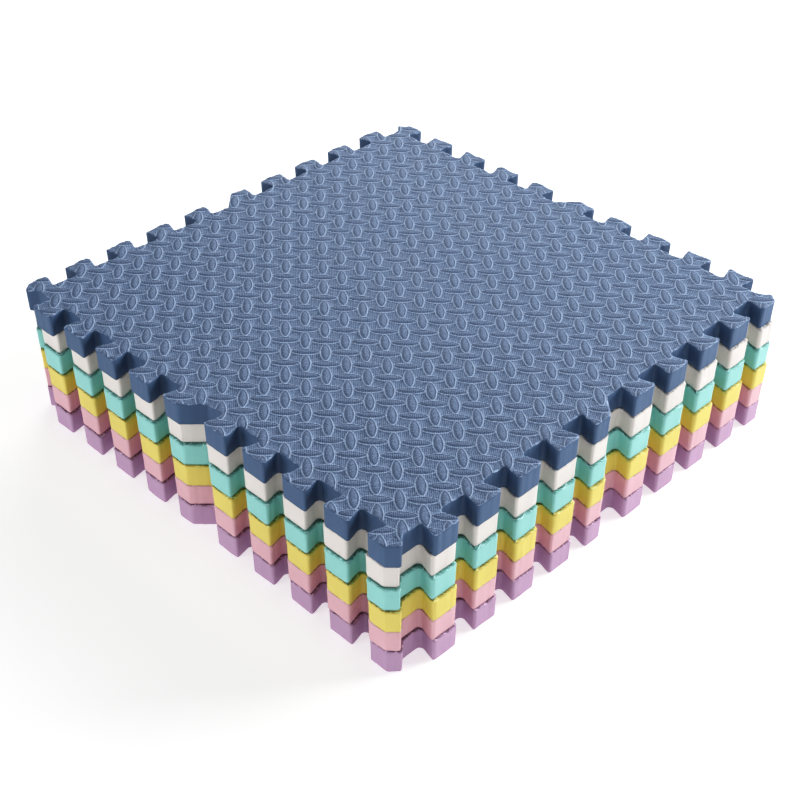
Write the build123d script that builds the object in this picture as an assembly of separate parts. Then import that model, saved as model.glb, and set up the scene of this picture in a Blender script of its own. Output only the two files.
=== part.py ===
from build123d import *
import os

# Set of six interlocking foam blocking mats, stacked for storage.
# Frame: +Z up, origin under the middle of the stack, on the surface that it rests on.
# Each mat is one square of closed-cell EVA foam, all cut with the same die: the outline
# looks the same after a quarter turn, and each side is its own mirror image turned inside
# out, so that any side of one mat interlocks with any side of another.

# Driving dimensions of one mat, in millimetres
TIP_TO_TIP = 305.0
TOOTH_DEPTH = 11.2
TOOTH_PITCH = 28.6
DOVETAIL_LEAN = 1.5
MIDDLE_TOOTH_WIDTH = 16.2
TEETH_PER_HALF_SIDE = 4
OUTER_CORNER_RADIUS = 1.4
INNER_CORNER_RADIUS = 1.8
MAT_THICKNESS = 13.65  # from one underside to the next in the stack

# Sizes that follow from them
TIP = TIP_TO_TIP / 2
ROOT = TIP - TOOTH_DEPTH
HALF_DEPTH = TOOTH_DEPTH / 2
TOOTH_WIDTH = TOOTH_PITCH / 2

# How each mat lies on the one below it, from the bottom of the stack upwards:
# name, shift along X and Y in millimetres, turn about Z in degrees
STACK = [
    ("mat_lilac", 0.9, -0.1, -0.30),
    ("mat_pink", 0.8, 0.0, -0.50),
    ("mat_yellow", 0.0, -0.9, -0.50),
    ("mat_mint", -0.1, -0.1, -0.50),
    ("mat_cream", 0.8, 0.9, -0.60),
    ("mat_navy", -1.4, 0.5, 0.0),
]


def dovetail(start, end):
    """Corners of one tooth between two places on a side, as (along, outward) pairs."""
    return [
        (start + DOVETAIL_LEAN, ROOT),
        (start - DOVETAIL_LEAN, TIP),
        (end + DOVETAIL_LEAN, TIP),
        (end - DOVETAIL_LEAN, ROOT),
    ]


def side_corners():
    """Corners of one side, from the hooked corner tooth to the next mat corner."""
    first_gap = -(MIDDLE_TOOTH_WIDTH + 2 * TEETH_PER_HALF_SIDE * TOOTH_WIDTH)
    corners = [
        (-ROOT, TIP),
        (first_gap + DOVETAIL_LEAN, TIP),
        (first_gap - DOVETAIL_LEAN, ROOT),
    ]
    for tooth in reversed(range(TEETH_PER_HALF_SIDE)):
        end = -(MIDDLE_TOOTH_WIDTH + tooth * TOOTH_PITCH)
        corners += dovetail(end - TOOTH_WIDTH, end)
    corners += [
        (-HALF_DEPTH, ROOT),
        (HALF_DEPTH, TIP),
        (MIDDLE_TOOTH_WIDTH + DOVETAIL_LEAN, TIP),
        (MIDDLE_TOOTH_WIDTH - DOVETAIL_LEAN, ROOT),
    ]
    for tooth in range(TEETH_PER_HALF_SIDE):
        start = MIDDLE_TOOTH_WIDTH + TOOTH_WIDTH + tooth * TOOTH_PITCH
        corners += dovetail(start, start + TOOTH_WIDTH)
    corners += [(ROOT, ROOT), (ROOT + HALF_DEPTH, ROOT + HALF_DEPTH)]
    return corners


def outline_corners():
    """Corners of the whole outline, clockwise from above: one side, turned four times."""
    corners = []
    for quarter in range(4):
        corners += [Vector(x, y).rotate(Axis.Z, -90 * quarter) for x, y in side_corners()]
    return corners


def corner_radii(corners):
    """A small radius where the outline turns outwards, and a larger one in the notches."""
    radii = []
    for index, corner in enumerate(corners):
        before = corner - corners[index - 1]
        after = corners[(index + 1) % len(corners)] - corner
        turns_outwards = before.cross(after).Z < 0
        radii.append(OUTER_CORNER_RADIUS if turns_outwards else INNER_CORNER_RADIUS)
    return radii


def one_mat():
    """One mat, centred on the origin with its underside at height zero."""
    corners = outline_corners()
    edge = FilletPolyline(*corners, radius=corner_radii(corners), close=True)
    return extrude(make_face(edge), MAT_THICKNESS, dir=(0, 0, 1))


def stacked(mat):
    """The six mats where they lie, with the middle of the stack over the origin."""
    pieces = {}
    for level, (name, shift_x, shift_y, turn) in enumerate(STACK):
        place = Location((shift_x, shift_y, level * MAT_THICKNESS), (0, 0, turn))
        pieces[name] = place * mat
    middle = Compound(list(pieces.values())).bounding_box().center()
    return {name: Pos(-middle.X, -middle.Y) * piece for name, piece in pieces.items()}


def main():
    os.makedirs("parts", exist_ok=True)
    for name, piece in stacked(one_mat()).items():
        export_step(piece, f"parts/{name}.step")


main()
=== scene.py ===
"""Six interlocking EVA foam blocking mats in a stack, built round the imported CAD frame.

Each mat is one closed mesh: an embossed skin cut through by the outline of its CAD slab, a
soft-edged cut side and a flat underside. Everything is in metres in the frame's own axes,
except in the mesh code of one mat, which works in millimetres from the middle of that mat.
"""
import math

import bpy
import numpy as np
from mathutils import Matrix, Quaternion, Vector
from mathutils.geometry import delaunay_2d_cdt


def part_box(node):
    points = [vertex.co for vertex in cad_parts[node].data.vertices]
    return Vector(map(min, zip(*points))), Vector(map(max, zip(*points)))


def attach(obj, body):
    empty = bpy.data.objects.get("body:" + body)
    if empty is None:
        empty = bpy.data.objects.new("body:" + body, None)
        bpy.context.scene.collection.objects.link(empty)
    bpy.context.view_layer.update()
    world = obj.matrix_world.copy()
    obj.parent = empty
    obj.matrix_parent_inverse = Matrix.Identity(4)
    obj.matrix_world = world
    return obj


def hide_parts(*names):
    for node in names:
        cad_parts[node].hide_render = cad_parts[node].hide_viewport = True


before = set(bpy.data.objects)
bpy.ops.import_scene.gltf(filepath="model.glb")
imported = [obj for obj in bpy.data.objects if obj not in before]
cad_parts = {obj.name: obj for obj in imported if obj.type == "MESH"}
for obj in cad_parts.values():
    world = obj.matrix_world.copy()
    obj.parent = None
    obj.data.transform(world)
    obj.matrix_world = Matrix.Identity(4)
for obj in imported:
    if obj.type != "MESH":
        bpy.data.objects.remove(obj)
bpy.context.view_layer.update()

MM = 0.001

# ---------------------------------------------------------------- the stack

# From the bottom up: CAD node, quarter turns of the embossed sheet before the mat was cut,
# and where a leaf's middle fell from the mat's middle, in millimetres
MATS = [
    ("mat_lilac", 0, (5.0, 1.0)),
    ("mat_pink", 1, (-3.0, 6.0)),
    ("mat_yellow", 0, (0.5, -4.0)),
    ("mat_mint", 1, (4.0, 2.5)),
    ("mat_cream", 0, (-6.0, 3.0)),
    ("mat_navy", 0, (1.9, 2.5)),
]
UNTURNED_MAT = "mat_navy"  # the mat whose sides lie along X and Y
EMBOSS_TURN = math.radians(0.27)

# ---------------------------------------------------------------- sizes, in millimetres

# Embossed leaves: two interleaved grids, one leaning each way
LEAF_PITCH = np.array([14.19, 15.70])
LEAF_LEAN = math.atan2(LEAF_PITCH[1], LEAF_PITCH[0])
LEAF_GRIDS = [(0.0, LEAF_LEAN), (0.5, -LEAF_LEAN)]
LEAF_POINTEDNESS = 0.28
# Rings of a leaf from its foot inwards: half length, half width, height, painted light, points
# round it.
# The painted light is pale on the crest, as a painted highlight and as worn foam, and below zero
# it is painted shade, darkest in the groove and fainter over the dome
LEAF_RINGS = [
    (8.20, 3.20, 0.00, 0.0, 16),
    (7.70, 2.65, 0.44, 1.0, 18),
    (7.10, 2.12, 0.12, -1.9, 14),
    (6.20, 1.55, 0.46, -1.1, 14),
    (3.80, 0.75, 0.60, -0.6, 8),
]
LEAF_CORE_HEIGHT = 0.63
# Painted shade on the middle of the dome
LEAF_CORE_PAINTED_SHADE = -0.5
# The crests stand this far over the top of the CAD slab, so a mat on top is hollowed by it
CREST_RISE = 0.30
CREST_CLEARANCE = 0.03
RIB_PITCH = 0.97

# Cut edge
OUTLINE_STEP = 1.1
OUTLINE_SOFTENING = 0.35
OUTLINE_FINENESS = 4  # steps of softening to one step of the outline
SKIN_EDGE_WIDTH = 1.2
SKIN_EDGE_DROP = 0.20
TORN_DROP = 0.3  # how far tearing changes that drop, as a share of it
# Pale torn spots along the cut of a skin under another mat, and painted shade of the mat above
# where the tearing dips below zero
PRESSED_WEAR_AND_SHADE = 0.25  # along the cut of a skin that lies under another mat
PRESSED_TEARING = 0.5
OPEN_TEARING = 0.4
SIDE_RAGGEDNESS = 0.30
LARGEST_BULGE = 0.15
TEAR_WAVELENGTHS = (3, 15)
SAG_WAVELENGTHS = (10, 50)
RAGGED_WAVES = 40
FIRST_SEED = 40
# Side of a mat from the skin down: share of the height from underside to skin, inset, how
# much of the raggedness the row takes, outwards and upwards, and painted shade where it lies on a
# mat, darkest at its bottom edge in the gap to the mat below. The painted light runs from 1,
# painted pale, to -3, the darkest painted shade
SIDE_ROWS = [
    (0.925, 0.00, 0.5, 0.3, 0.0),
    (0.800, 0.08, 0.3, 0.0, 0.0),
    (0.550, 0.18, 0.1, 0.0, 0.0),
    (0.140, 0.28, 0.3, 0.0, 0.0),
    (0.070, 0.33, 0.5, 0.5, -0.2),
    (0.020, 0.46, 0.6, 0.6, -2.0),
    (0.000, 0.75, 0.4, 0.0, -2.6),
]

# ---------------------------------------------------------------- camera and light

CAMERA_PLACE = Vector((-0.4835, -0.4711, 0.5116))
CAMERA_AIM = Vector((-0.0337, -0.0318, 0.0410))
CAMERA_ROLL = math.radians(0.55)
CAMERA_LENS_MM = 64.5
SENSOR_MM = 36.0

SOFT_BOX_AIM = Vector((0, 0, 0.03))
SOFT_BOX_DISTANCE = 1.6
SOFT_BOX_SIZE = 0.9
# Soft boxes: name, azimuth anticlockwise from +X and elevation in degrees, watts
SOFT_BOXES = [
    ("key", 332, 23, 30),
    ("left_fill", 165, 13, 11),
    ("front_fill", 265, 15, 3),
    ("back", 42, 32, 10.5),
    ("overhead", 0, 90, 3),
]
HORIZON_GLOW = 0.85
CEILING_GLOW = 0.03
HORIZON_REACH = 0.25  # sine of the elevation where the walls of the room end
FLOOR_RADIUS = 1.55
FLOOR_CORNERS = 96
FLOOR_SHADE = (0.93, 0.93, 0.93, 1)
FLOOR_GLOW = 0.48
CONTRAST = 0.5  # strength of the tone curve, from 0 for none
TONE_STEPS = 12


def make_camera():
    """Camera at the photograph's viewing angle."""
    data = bpy.data.cameras.new("camera")
    data.lens = CAMERA_LENS_MM
    data.sensor_width = SENSOR_MM
    data.clip_start = 0.01
    camera = bpy.data.objects.new("camera", data)
    bpy.context.scene.collection.objects.link(camera)
    look = (CAMERA_AIM - CAMERA_PLACE).to_track_quat("-Z", "Y")
    roll = Quaternion((0, 0, 1), CAMERA_ROLL)
    camera.matrix_world = Matrix.Translation(CAMERA_PLACE) @ (look @ roll).to_matrix().to_4x4()
    bpy.context.scene.camera = camera


def make_light(name, azimuth, elevation, watts):
    """Square soft box facing the stack from a direction in degrees."""
    around, up = math.radians(azimuth), math.radians(elevation)
    level = math.cos(up)
    towards = Vector((math.cos(around) * level, math.sin(around) * level, math.sin(up)))
    data = bpy.data.lights.new(name, "AREA")
    data.shape = "SQUARE"
    data.size = SOFT_BOX_SIZE
    data.energy = watts
    light = bpy.data.objects.new(name, data)
    bpy.context.scene.collection.objects.link(light)
    place = SOFT_BOX_AIM + SOFT_BOX_DISTANCE * towards
    look = (-towards).to_track_quat("-Z", "Y")
    light.matrix_world = Matrix.Translation(place) @ look.to_matrix().to_4x4()


def make_world():
    """White room with pale walls and a dim ceiling."""
    world = bpy.data.worlds.new("studio")
    bpy.context.scene.world = world
    world.use_nodes = True
    tree = world.node_tree
    direction = tree.nodes.new("ShaderNodeTexCoord").outputs["Generated"]
    upwards = tree.nodes.new("ShaderNodeSeparateXYZ")
    tree.links.new(direction, upwards.inputs[0])
    fade = tree.nodes.new("ShaderNodeMapRange")
    tree.links.new(upwards.outputs["Z"], fade.inputs["Value"])
    fade.inputs["From Max"].default_value = HORIZON_REACH
    fade.inputs["To Min"].default_value = HORIZON_GLOW
    fade.inputs["To Max"].default_value = CEILING_GLOW
    background = tree.nodes["Background"]
    background.inputs["Color"].default_value = (1, 1, 1, 1)
    tree.links.new(fade.outputs[0], background.inputs["Strength"])


def linear(value):
    """A shown value as linear light, by the sRGB curve."""
    return value / 12.92 if value < 0.0405 else ((value + 0.055) / 1.055) ** 2.4


def make_tone():
    """Plain view transform with the soft contrast of a product photograph."""
    view = bpy.context.scene.view_settings
    view.view_transform = "Standard"
    view.use_curve_mapping = True
    tone = view.curve_mapping.curves[3]
    for step in range(1, TONE_STEPS):
        shown = step / TONE_STEPS
        bent = shown + 2 * CONTRAST * shown * (1 - shown) * (shown - 0.5)
        tone.points.new(linear(shown), linear(bent))
    view.curve_mapping.update()


def make_floor():
    """Plain pale floor under the stack."""
    turns = np.linspace(0, 2 * math.pi, FLOOR_CORNERS, endpoint=False)
    rim = [(FLOOR_RADIUS * math.cos(t), FLOOR_RADIUS * math.sin(t), 0) for t in turns]
    mesh = bpy.data.meshes.new("floor")
    mesh.from_pydata(rim, [], [range(FLOOR_CORNERS)])
    floor = bpy.data.objects.new("floor", mesh)
    bpy.context.scene.collection.objects.link(floor)
    material = bpy.data.materials.new("floor")
    material.use_nodes = True
    shader = material.node_tree.nodes["Principled BSDF"]
    shader.inputs["Base Color"].default_value = FLOOR_SHADE
    shader.inputs["Roughness"].default_value = 0.9
    shader.inputs["Emission Color"].default_value = (1, 1, 1, 1)
    shader.inputs["Emission Strength"].default_value = FLOOR_GLOW
    mesh.materials.append(material)


# ---------------------------------------------------------------- outline of a mat


def cad_outline(node):
    """Corners of a CAD slab's top face, anticlockwise from above, in metres."""
    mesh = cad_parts[node].data
    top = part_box(node)[1].z
    edges = set()
    for face in mesh.polygons:
        corners = [mesh.vertices[i].co for i in face.vertices]
        if min(c.z for c in corners) > top - 1e-6:
            keys = [(round(c.x / MM, 3), round(c.y / MM, 3)) for c in corners]
            edges.update(zip(keys, keys[1:] + keys[:1]))
    follower = {a: b for a, b in edges if (b, a) not in edges}
    first = min(follower)
    loop = [first]
    while follower[loop[-1]] != first:
        loop.append(follower[loop[-1]])
    return np.array(loop)


def quarter_phase(loop, middle):
    """Angle of a loop with four-fold symmetry, in radians, up to a constant."""
    z = (loop - middle) @ np.array([1, 1j])
    reach = (np.abs(np.roll(z, -1) - z) + np.abs(z - np.roll(z, 1))) / 2
    return np.angle(np.sum(reach * z**4)) / 4


def arc_length(loop):
    """Distance along a closed loop to each of its corners, and its whole length."""
    steps = np.linalg.norm(np.roll(loop, -1, axis=0) - loop, axis=1)
    return np.concatenate([[0], np.cumsum(steps)[:-1]]), steps.sum()


def resampled(loop, step, softening):
    """The loop in even steps, with its corners softened a little."""
    fine_step = step / OUTLINE_FINENESS
    along, length = arc_length(loop)
    count = OUTLINE_FINENESS * round(length / step)
    places = np.arange(count) * length / count
    closed = np.vstack([loop, loop[:1]])
    reach = np.append(along, length)
    fine = np.stack([np.interp(places, reach, closed[:, k]) for k in range(2)], axis=1)
    span = np.arange(-2 * OUTLINE_FINENESS, 2 * OUTLINE_FINENESS + 1)
    weights = np.exp(-0.5 * (span * fine_step / softening) ** 2)
    weights /= weights.sum()
    soft = sum(w * np.roll(fine, k, axis=0) for w, k in zip(weights, span))
    return soft[::OUTLINE_FINENESS]


def outward(loop):
    """Unit normal of an anticlockwise loop at each of its corners."""
    along = np.roll(loop, -1, axis=0) - np.roll(loop, 1, axis=0)
    normal = np.stack([along[:, 1], -along[:, 0]], axis=1)
    return normal / np.linalg.norm(normal, axis=1, keepdims=True)


def ragged(places, length, rng, finest, coarsest):
    """Noise of about unit size round a closed edge, between two wavelengths."""
    total = np.zeros(len(places))
    for _ in range(RAGGED_WAVES):
        wavelength = math.exp(rng.uniform(math.log(finest), math.log(coarsest)))
        turns = max(1, round(length / wavelength))
        total += np.sin(2 * math.pi * (turns * places / length + rng.uniform()))
    return total / math.sqrt(RAGGED_WAVES / 2)


def normals_along(outline, along, length):
    """Outward normals of an outline at the places of a finer loop that follows it."""
    own_along, own_length = arc_length(outline)
    reach = np.append(own_along, own_length)
    places = along * own_length / length
    closed = [np.append(n, n[0]) for n in outward(outline).T]
    return np.stack([np.interp(places, reach, n) for n in closed], axis=1)


# ---------------------------------------------------------------- embossed skin


def turned(points, angle):
    """Points of the plane turned about the origin."""
    c, s = math.cos(angle), math.sin(angle)
    return points @ np.array([[c, s], [-s, c]])


def leaf_ring(half_length, half_width, count):
    """Points round one ring of a leaf that lies along X."""
    t = 2 * math.pi * np.arange(count) / count
    across = np.sin(t) * np.abs(np.sin(t)) ** LEAF_POINTEDNESS
    return np.stack([half_length * np.cos(t), half_width * across], axis=1)


def leaf_measure(points, half_length, half_width):
    """Below one inside a ring of a leaf that lies along X, and above one outside it."""
    along = (points[:, 0] / half_length) ** 2
    return along + np.abs(points[:, 1] / half_width) ** (2 / (1 + LEAF_POINTEDNESS))


def leaf_profile(points, values, core_value):
    """A value given at each ring and at the middle of a leaf, at points of one along X."""
    profile = np.zeros(len(points))
    measures = [leaf_measure(points, ring[0], ring[1]) for ring in LEAF_RINGS]
    for k in range(len(LEAF_RINGS) - 1):
        inside, outside = 1 - measures[k], measures[k + 1] - 1
        between = (inside >= 0) & (outside > 0)
        share = inside / np.maximum(inside + outside, 1e-9)
        profile[between] = ((1 - share) * values[k] + share * values[k + 1])[between]
    core = measures[-1] <= 1
    share = np.sqrt(np.clip(measures[-1], 0, 1))
    profile[core] = (core_value + share * (values[-1] - core_value))[core]
    return profile


def to_sheet(points, sheet):
    """Points of a mat in the axes of the embossed sheet, from a leaf's middle."""
    return turned(points - sheet["middle"], -sheet["turn"])


def from_sheet(points, sheet):
    """Points of the embossed sheet in a mat's own axes."""
    return turned(points, sheet["turn"]) + sheet["middle"]


def from_nearest(points, sheet, shift, lean):
    """Points of a mat from the middle of their nearest leaf of one grid, along that leaf."""
    cells = to_sheet(points, sheet) / LEAF_PITCH - shift
    return turned((cells - np.round(cells)) * LEAF_PITCH, -lean)


def embossing(points, sheet):
    """Height and painted light of the leaves at points of a mat; the taller leaf wins where two
    meet. The painted light is pale on the crests as a painted highlight, and painted shade in the
    grooves and over the domes.
    """
    heights, leaf_painted_lights = [], []
    for shift, lean in LEAF_GRIDS:
        places = from_nearest(points, sheet, shift, lean)
        heights.append(leaf_profile(places, [ring[2] for ring in LEAF_RINGS], LEAF_CORE_HEIGHT))
        leaf_painted_lights.append(leaf_profile(places, [ring[3] for ring in LEAF_RINGS], LEAF_CORE_PAINTED_SHADE))
    return np.maximum(*heights), np.where(heights[0] >= heights[1], *leaf_painted_lights)


def leaf_points(sheet, reach):
    """Points of all the leaves within reach of a mat's middle, with the edges of the rings."""
    points, edges = [], []
    count = int(reach / LEAF_PITCH.min()) + 2
    for column in range(-count, count + 1):
        for row in range(-count, count + 1):
            for shift, lean in LEAF_GRIDS:
                middle = (np.array([column, row]) + shift) * LEAF_PITCH
                if np.abs(from_sheet(middle[None], sheet)).max() > reach + LEAF_RINGS[0][0]:
                    continue
                for half_length, half_width, _, _, around in LEAF_RINGS:
                    first = len(points)
                    ring = turned(leaf_ring(half_length, half_width, around), lean) + middle
                    points.extend(from_sheet(ring, sheet))
                    links = [(first + k, first + (k + 1) % around) for k in range(around)]
                    edges.extend(links)
                points.extend(from_sheet(middle[None], sheet))
    return points, edges


def skin(outline, inner, sheet):
    """Triangulates the embossed sheet inside an outline: points, triangles, boundary loop."""
    leaves, leaf_edges = leaf_points(sheet, np.abs(outline).max())
    count = len(outline)
    points = list(outline) + list(inner) + leaves
    edges = [(k, (k + 1) % count) for k in range(count)]
    edges += [(count + a, count + b) for a, b in edges]
    edges += [(2 * count + a, 2 * count + b) for a, b in leaf_edges]
    cut = delaunay_2d_cdt([Vector(p) for p in points], edges, [list(range(count))], 0, 1e-4, True)
    places, triangles, origins, inside = cut[0], cut[2], cut[3], cut[5]
    kept = np.array([t for t, owners in zip(triangles, inside) if owners])
    points = np.array([tuple(p) for p in places])
    start = next(k for k, sources in enumerate(origins) if 0 in sources)
    links = {(a, b) for t in kept for a, b in ((t[0], t[1]), (t[1], t[2]), (t[2], t[0]))}
    follower = {a: b for a, b in links if (b, a) not in links}
    loop = [start]
    while follower[loop[-1]] != start:
        loop.append(follower[loop[-1]])
    used, numbers = np.unique(kept, return_inverse=True)
    loop = np.searchsorted(used, loop)
    return points[used], numbers.reshape(kept.shape), loop


# ---------------------------------------------------------------- one mat


def side_rows(edge, normals, tear, sag, base, ground):
    """Rows of points down the cut side of a mat, below the edge of its skin."""
    rows = []
    for share, inset, outwards, upwards, _ in SIDE_ROWS:
        shift = outwards * SIDE_RAGGEDNESS * (0.5 * tear + 0.5 * sag) - inset
        plan = edge + np.minimum(shift, LARGEST_BULGE)[:, None] * normals
        rise = base + share * (ground - base) + upwards * SIDE_RAGGEDNESS * tear
        rows.append(np.column_stack([plan, np.maximum(rise, base)]))
    return rows


def mark_faces(mesh, raised):
    """Shading and material slot of each face: skin first, then side, and last the underside."""
    smooth = np.ones(len(mesh.polygons), bool)
    smooth[: len(raised)] = raised
    smooth[-1] = False
    mesh.polygons.foreach_set("use_smooth", smooth)
    slots = np.ones(len(mesh.polygons), np.int32)
    slots[: len(raised)] = 0
    mesh.polygons.foreach_set("material_index", slots)


def add_values(mesh, name, values):
    """Gives the points of a mesh a value each, for its materials."""
    attribute = mesh.attributes.new(name, "FLOAT", "POINT")
    attribute.data.foreach_set("value", values.astype(np.float32))


def mat_mesh(name, outline, sheet, base, height, rng, covered):
    """Closed mesh of one mat, in millimetres, from the foot of its CAD slab."""
    ground = height + CREST_RISE - LEAF_CORE_HEIGHT
    inner = outline - SKIN_EDGE_WIDTH * outward(outline)
    flat, triangles, loop = skin(outline, inner, sheet)
    emboss, skin_wear_and_painted_light = embossing(flat, sheet)
    edge = flat[loop]
    along, length = arc_length(edge)
    tear = ragged(along, length, rng, *TEAR_WAVELENGTHS)
    sag = ragged(along, length, rng, *SAG_WAVELENGTHS)
    heights = ground + emboss
    heights[loop] -= SKIN_EDGE_DROP * (1 + TORN_DROP * tear)

    normals = normals_along(outline, along, length)
    rows = side_rows(edge, normals, tear, sag, base, ground)
    points = np.vstack([np.column_stack([flat, heights]), *rows])
    below = len(flat) + np.arange(len(rows) * len(loop)).reshape(len(rows), -1)
    loops = [loop, *below]
    faces = [tuple(t) for t in triangles]
    for upper, lower in zip(loops, loops[1:]):
        faces += zip(upper, lower, np.roll(lower, -1), np.roll(upper, -1))
    faces.append(tuple(loops[-1][::-1]))
    mesh = bpy.data.meshes.new(name)
    mesh.from_pydata(points.tolist(), [], [tuple(int(k) for k in f) for f in faces])

    on_ground = np.abs(heights - ground) < 1e-6
    mark_faces(mesh, ~on_ground[triangles].all(axis=1))
    # Painted light along the cut edge of the skin: under another mat, pale torn spots with painted
    # shade of the mat above where the tearing dips; on the top mat, pale torn spots only
    open_wear = np.clip(OPEN_TEARING * tear, 0, 1)
    skin_wear_and_painted_light[loop] = PRESSED_WEAR_AND_SHADE + PRESSED_TEARING * tear if covered else open_wear
    # Painted shade along the bottom edge of a mat that lies on another, in the gap between them
    side_painted_shade = np.repeat([row[4] if base else 0.0 for row in SIDE_ROWS], len(loop))
    # The attribute holds worn foam and painted light: painted highlight on crests, painted shade
    # in grooves, over domes and in the gaps between mats
    add_values(mesh, "wear_and_painted_light", np.concatenate([skin_wear_and_painted_light, side_painted_shade]))
    plain_leaves = from_nearest(flat, sheet, *LEAF_GRIDS[0])
    skin_ribbed = leaf_measure(plain_leaves, *LEAF_RINGS[1][:2]) > 1
    skin_ribbed[loop] = False
    add_values(mesh, "ribbed", np.append(skin_ribbed, np.ones(len(side_painted_shade))))
    return mesh


def sheet_turn(quarter_turns):
    """Angle of the embossed sheet in a mat's own axes."""
    return quarter_turns * math.pi / 2 + EMBOSS_TURN


def make_mat(node, quarter_turns, leaf_shift, base, covered, rng, reference):
    """The detailed mat that stands for one CAD slab."""
    low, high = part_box(node)
    middle = np.array([(low.x + high.x) / 2, (low.y + high.y) / 2])
    loop = cad_outline(node)
    turn = quarter_phase(loop, middle / MM) - reference
    local = turned(loop - middle / MM, -turn)
    sheet = {"turn": sheet_turn(quarter_turns), "middle": np.array(leaf_shift)}
    outline = resampled(local, OUTLINE_STEP, OUTLINE_SOFTENING)
    height = (high.z - low.z) / MM
    mesh = mat_mesh(node + "_foam", outline, sheet, base, height, rng, covered)
    mesh.transform(Matrix.Diagonal((MM, MM, MM, 1)))
    mat = bpy.data.objects.new(node + "_foam", mesh)
    bpy.context.scene.collection.objects.link(mat)
    place = Matrix.Translation((middle[0], middle[1], low.z))
    mat.matrix_world = place @ Matrix.Rotation(turn, 4, "Z")
    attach(mat, node)
    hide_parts(node)
    return mat


# ---------------------------------------------------------------- materials

# Sizes of the foam's texture, in millimetres
SKIN_GRAIN = 0.8
SKIN_MOTTLE = 18
SKIN_BUMP = 0.16
CUT_GRAIN = 0.5
CUT_PATCH = 22
CUT_BUMP = 0.12
DRAG_WIDTH = 1.6
DRAG_SQUASH = 0.12  # across to along, so that the marks run upright
PORE_SPACING = 3.2
UNRIBBED = (0.35, 0.35, 0.35, 1)  # level of the ribs where there are none
# Darkest painted shade, in the leaves' grooves and in the gaps between mats
DARKEST_PAINTED_SHADE = -3.0
PALEST = 0.92

# Foam colours, linear: embossed skin and cut side. The skins are lighter than the cuts to make up
# for the painted shade in the skin material, and the navy skin is lighter still as painted sheen,
# standing in for the sheen of its top
COLOURS = {
    "mat_navy": ((0.213, 0.307, 0.484), (0.053, 0.100, 0.191)),
    "mat_cream": ((0.850, 0.810, 0.770), (0.655, 0.618, 0.588)),
    "mat_mint": ((0.330, 0.730, 0.680), (0.251, 0.552, 0.522)),
    "mat_yellow": ((0.850, 0.700, 0.190), (0.668, 0.549, 0.138)),
    "mat_pink": ((0.830, 0.510, 0.570), (0.642, 0.374, 0.425)),
    "mat_lilac": ((0.580, 0.390, 0.570), (0.425, 0.274, 0.420)),
}


class Graph:
    """A material's node tree with short ways to add to it."""

    def __init__(self, name):
        self.material = bpy.data.materials.new(name)
        self.material.use_nodes = True
        self.tree = self.material.node_tree
        self.shader = self.tree.nodes["Principled BSDF"]
        self.place = self.node("ShaderNodeTexCoord").outputs["Object"]

    def node(self, kind, **settings):
        """Adds a node with these settings."""
        made = self.tree.nodes.new(kind)
        for key, value in settings.items():
            setattr(made, key, value)
        return made

    def put(self, socket, value):
        """Links an output to a socket, or sets the socket's number."""
        if isinstance(value, bpy.types.NodeSocket):
            self.tree.links.new(value, socket)
        else:
            socket.default_value = value

    def math(self, operation, a, b=0.0, c=0.0):
        """One sum of up to three numbers."""
        made = self.node("ShaderNodeMath", operation=operation)
        for socket, value in zip(made.inputs, (a, b, c)):
            self.put(socket, value)
        return made.outputs[0]

    def noise(self, wavelength, detail=2.0, stretch=(1, 1, 1)):
        """Noise from 0 to 1 whose lumps are about a wavelength across, in metres."""
        spread = self.node("ShaderNodeMapping")
        self.put(spread.inputs["Vector"], self.place)
        spread.inputs["Scale"].default_value = stretch
        made = self.node("ShaderNodeTexNoise")
        self.put(made.inputs["Vector"], spread.outputs[0])
        made.inputs["Scale"].default_value = 1 / wavelength
        made.inputs["Detail"].default_value = detail
        return made.outputs["Fac"]

    def ramp(self, value, low, high, to_low=0.0, to_high=1.0):
        """Maps a range of a value to another, held at both ends."""
        made = self.node("ShaderNodeMapRange", clamp=True)
        for socket, number in zip(made.inputs, (value, low, high, to_low, to_high)):
            self.put(socket, number)
        return made.outputs[0]

    def mix(self, share, a, b):
        """Mixes two colours."""
        made = self.node("ShaderNodeMix", data_type="RGBA")
        self.put(made.inputs["Factor"], share)
        self.put(made.inputs["A"], a)
        self.put(made.inputs["B"], b)
        return made.outputs["Result"]

    def bump(self, height, distance, strength):
        """Relief too fine for the mesh."""
        made = self.node("ShaderNodeBump")
        made.inputs["Distance"].default_value = distance
        made.inputs["Strength"].default_value = strength
        self.put(made.inputs["Height"], height)
        self.put(self.shader.inputs["Normal"], made.outputs[0])


def shade(colour, factor):
    """A colour made darker or lighter, as four numbers."""
    return tuple(min(1.0, c * factor) for c in colour) + (1.0,)


def painted_shade_colour(colour):
    """The colour painted in as shade in creases, gaps and the valleys of the fine relief, richer
    than a plain shade of it.
    """
    return tuple(0.45 * c**1.5 for c in colour) + (1.0,)


def pale(colour):
    """The colour of the foam where it is stretched or worn, also painted on leaf crests as a
    highlight.
    """
    return tuple(min(PALEST, 1.3 * c + 0.13) for c in colour) + (1.0,)


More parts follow.
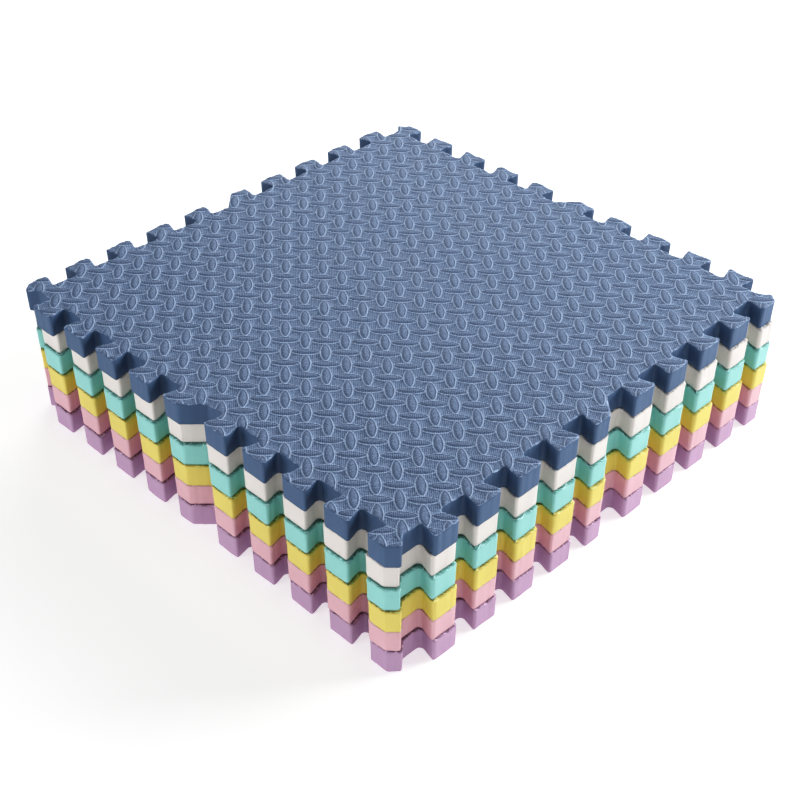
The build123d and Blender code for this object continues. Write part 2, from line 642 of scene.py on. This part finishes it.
def skin_material(name, colour, turn):
    """Embossed foam skin: beaded ribs along one grid of leaves, darker in their valleys as painted
    shade, painted shade in the leaves' grooves and over their domes, crests painted pale as a
    highlight, and cuts worn pale with painted shade where a mat lies above.
    """
    g = Graph(name)
    along_ribs = g.node("ShaderNodeMapping", vector_type="TEXTURE")
    g.put(along_ribs.inputs["Vector"], g.place)
    along_ribs.inputs["Rotation"].default_value = (0, 0, turn + LEAF_LEAN)
    axes = g.node("ShaderNodeSeparateXYZ")
    g.put(axes.inputs[0], along_ribs.outputs[0])
    turns = 2 * math.pi / (RIB_PITCH * MM)
    waves = [g.math("SINE", g.math("MULTIPLY", axis, turns)) for axis in axes.outputs[:2]]
    beads, lines = [g.math("MULTIPLY_ADD", wave, 0.5, 0.5) for wave in waves]
    ribs = g.math("MULTIPLY", lines, beads)
    wear_and_painted_light = g.node("ShaderNodeAttribute", attribute_name="wear_and_painted_light").outputs["Fac"]
    ribbed = g.node("ShaderNodeAttribute", attribute_name="ribbed").outputs["Fac"]
    mottle = g.noise(SKIN_MOTTLE * MM, 3)
    grain = g.noise(SKIN_GRAIN * MM, 2)
    ribs = g.mix(ribbed, UNRIBBED, ribs)
    texture = g.math("ADD", g.ramp(grain, 0.3, 0.7, 0.0, 0.8), ribs)
    base = g.mix(g.ramp(mottle, 0.3, 0.7), shade(colour, 0.94), shade(colour, 1.06))
    # Painted shade of the fine relief: darker in the valleys of the beads and the grain
    base = g.mix(g.ramp(texture, 0.3, 1.2, 0.80, 0.0), base, painted_shade_colour(colour))
    # Painted shade where the attribute is below zero: the leaves' grooves and domes, and dips
    # along covered cuts
    base = g.mix(g.ramp(wear_and_painted_light, DARKEST_PAINTED_SHADE, 0.0, 0.95, 0.0), base, painted_shade_colour(colour))
    # Pale where the attribute is above zero: painted highlight on leaf crests, and worn foam at
    # torn cuts
    rubbed_and_highlit = g.ramp(wear_and_painted_light, 0.0, 0.7, 0.0, 0.95)
    rubbed_and_highlit = g.math("MULTIPLY", rubbed_and_highlit, g.ramp(grain, 0.3, 0.6, 0.65, 1.0))
    base = g.mix(rubbed_and_highlit, base, pale(colour))
    g.put(g.shader.inputs["Base Color"], base)
    g.put(g.shader.inputs["Roughness"], g.ramp(mottle, 0.2, 0.8, 0.60, 0.68))
    g.shader.inputs["Specular IOR Level"].default_value = 0.5
    g.bump(texture, SKIN_BUMP * MM, 0.8)
    return g.material


def cut_material(name, colour):
    """Cut foam side and smooth underside: faint upright drag marks and tiny pores, and painted
    shade along the bottom edge where a mat lies on another.
    """
    g = Graph(name)
    drag = g.noise(DRAG_WIDTH * MM, 3, (1, 1, DRAG_SQUASH))
    grain = g.noise(CUT_GRAIN * MM, 2)
    patch = g.noise(CUT_PATCH * MM, 2)
    cells = g.node("ShaderNodeTexVoronoi", feature="F1")
    g.put(cells.inputs["Vector"], g.place)
    cells.inputs["Scale"].default_value = 1 / (PORE_SPACING * MM)
    tone = g.node("ShaderNodeSeparateColor")
    g.put(tone.inputs[0], cells.outputs["Color"])
    rare = g.ramp(tone.outputs[0], 0.86, 0.90)
    pore = g.math("MULTIPLY", g.ramp(cells.outputs["Distance"], 0.06, 0.16, 1.0, 0.0), rare)
    base = g.mix(g.ramp(patch, 0.3, 0.7), shade(colour, 0.95), shade(colour, 1.05))
    base = g.mix(g.ramp(drag, 0.3, 0.7, 0.0, 0.10), base, shade(colour, 1.2))
    base = g.mix(g.math("MULTIPLY", pore, 0.55), base, shade(colour, 0.45))
    wear_and_painted_light = g.node("ShaderNodeAttribute", attribute_name="wear_and_painted_light").outputs["Fac"]
    # Painted shade along the bottom edge of a mat that lies on another, in the gap between them
    base = g.mix(g.ramp(wear_and_painted_light, DARKEST_PAINTED_SHADE, 0.0, 0.9, 0.0), base, painted_shade_colour(colour))
    g.put(g.shader.inputs["Base Color"], base)
    g.put(g.shader.inputs["Roughness"], g.ramp(grain, 0.2, 0.8, 0.60, 0.72))
    g.shader.inputs["Specular IOR Level"].default_value = 0.45
    height = g.math("MULTIPLY_ADD", grain, 0.6, g.math("MULTIPLY", drag, 0.15))
    height = g.math("SUBTRACT", height, g.math("MULTIPLY", pore, 1.5))
    g.bump(height, CUT_BUMP * MM, 0.6)
    return g.material


# ---------------------------------------------------------------- the scene


def main():
    make_camera()
    for soft_box in SOFT_BOXES:
        make_light(*soft_box)
    make_world()
    make_tone()
    make_floor()
    low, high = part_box(UNTURNED_MAT)
    middle = np.array([(low.x + high.x) / 2, (low.y + high.y) / 2]) / MM
    reference = quarter_phase(cad_outline(UNTURNED_MAT), middle)
    for level, (node, quarter_turns, leaf_shift) in enumerate(MATS):
        rng = np.random.default_rng(FIRST_SEED + level)
        base = CREST_RISE + CREST_CLEARANCE if level else 0.0
        covered = node != MATS[-1][0]
        mat = make_mat(node, quarter_turns, leaf_shift, base, covered, rng, reference)
        skin_colour, cut_colour = COLOURS[node]
        turn = sheet_turn(quarter_turns)
        mat.data.materials.append(skin_material(node + "_skin", skin_colour, turn))
        mat.data.materials.append(cut_material(node + "_cut", cut_colour))


main()
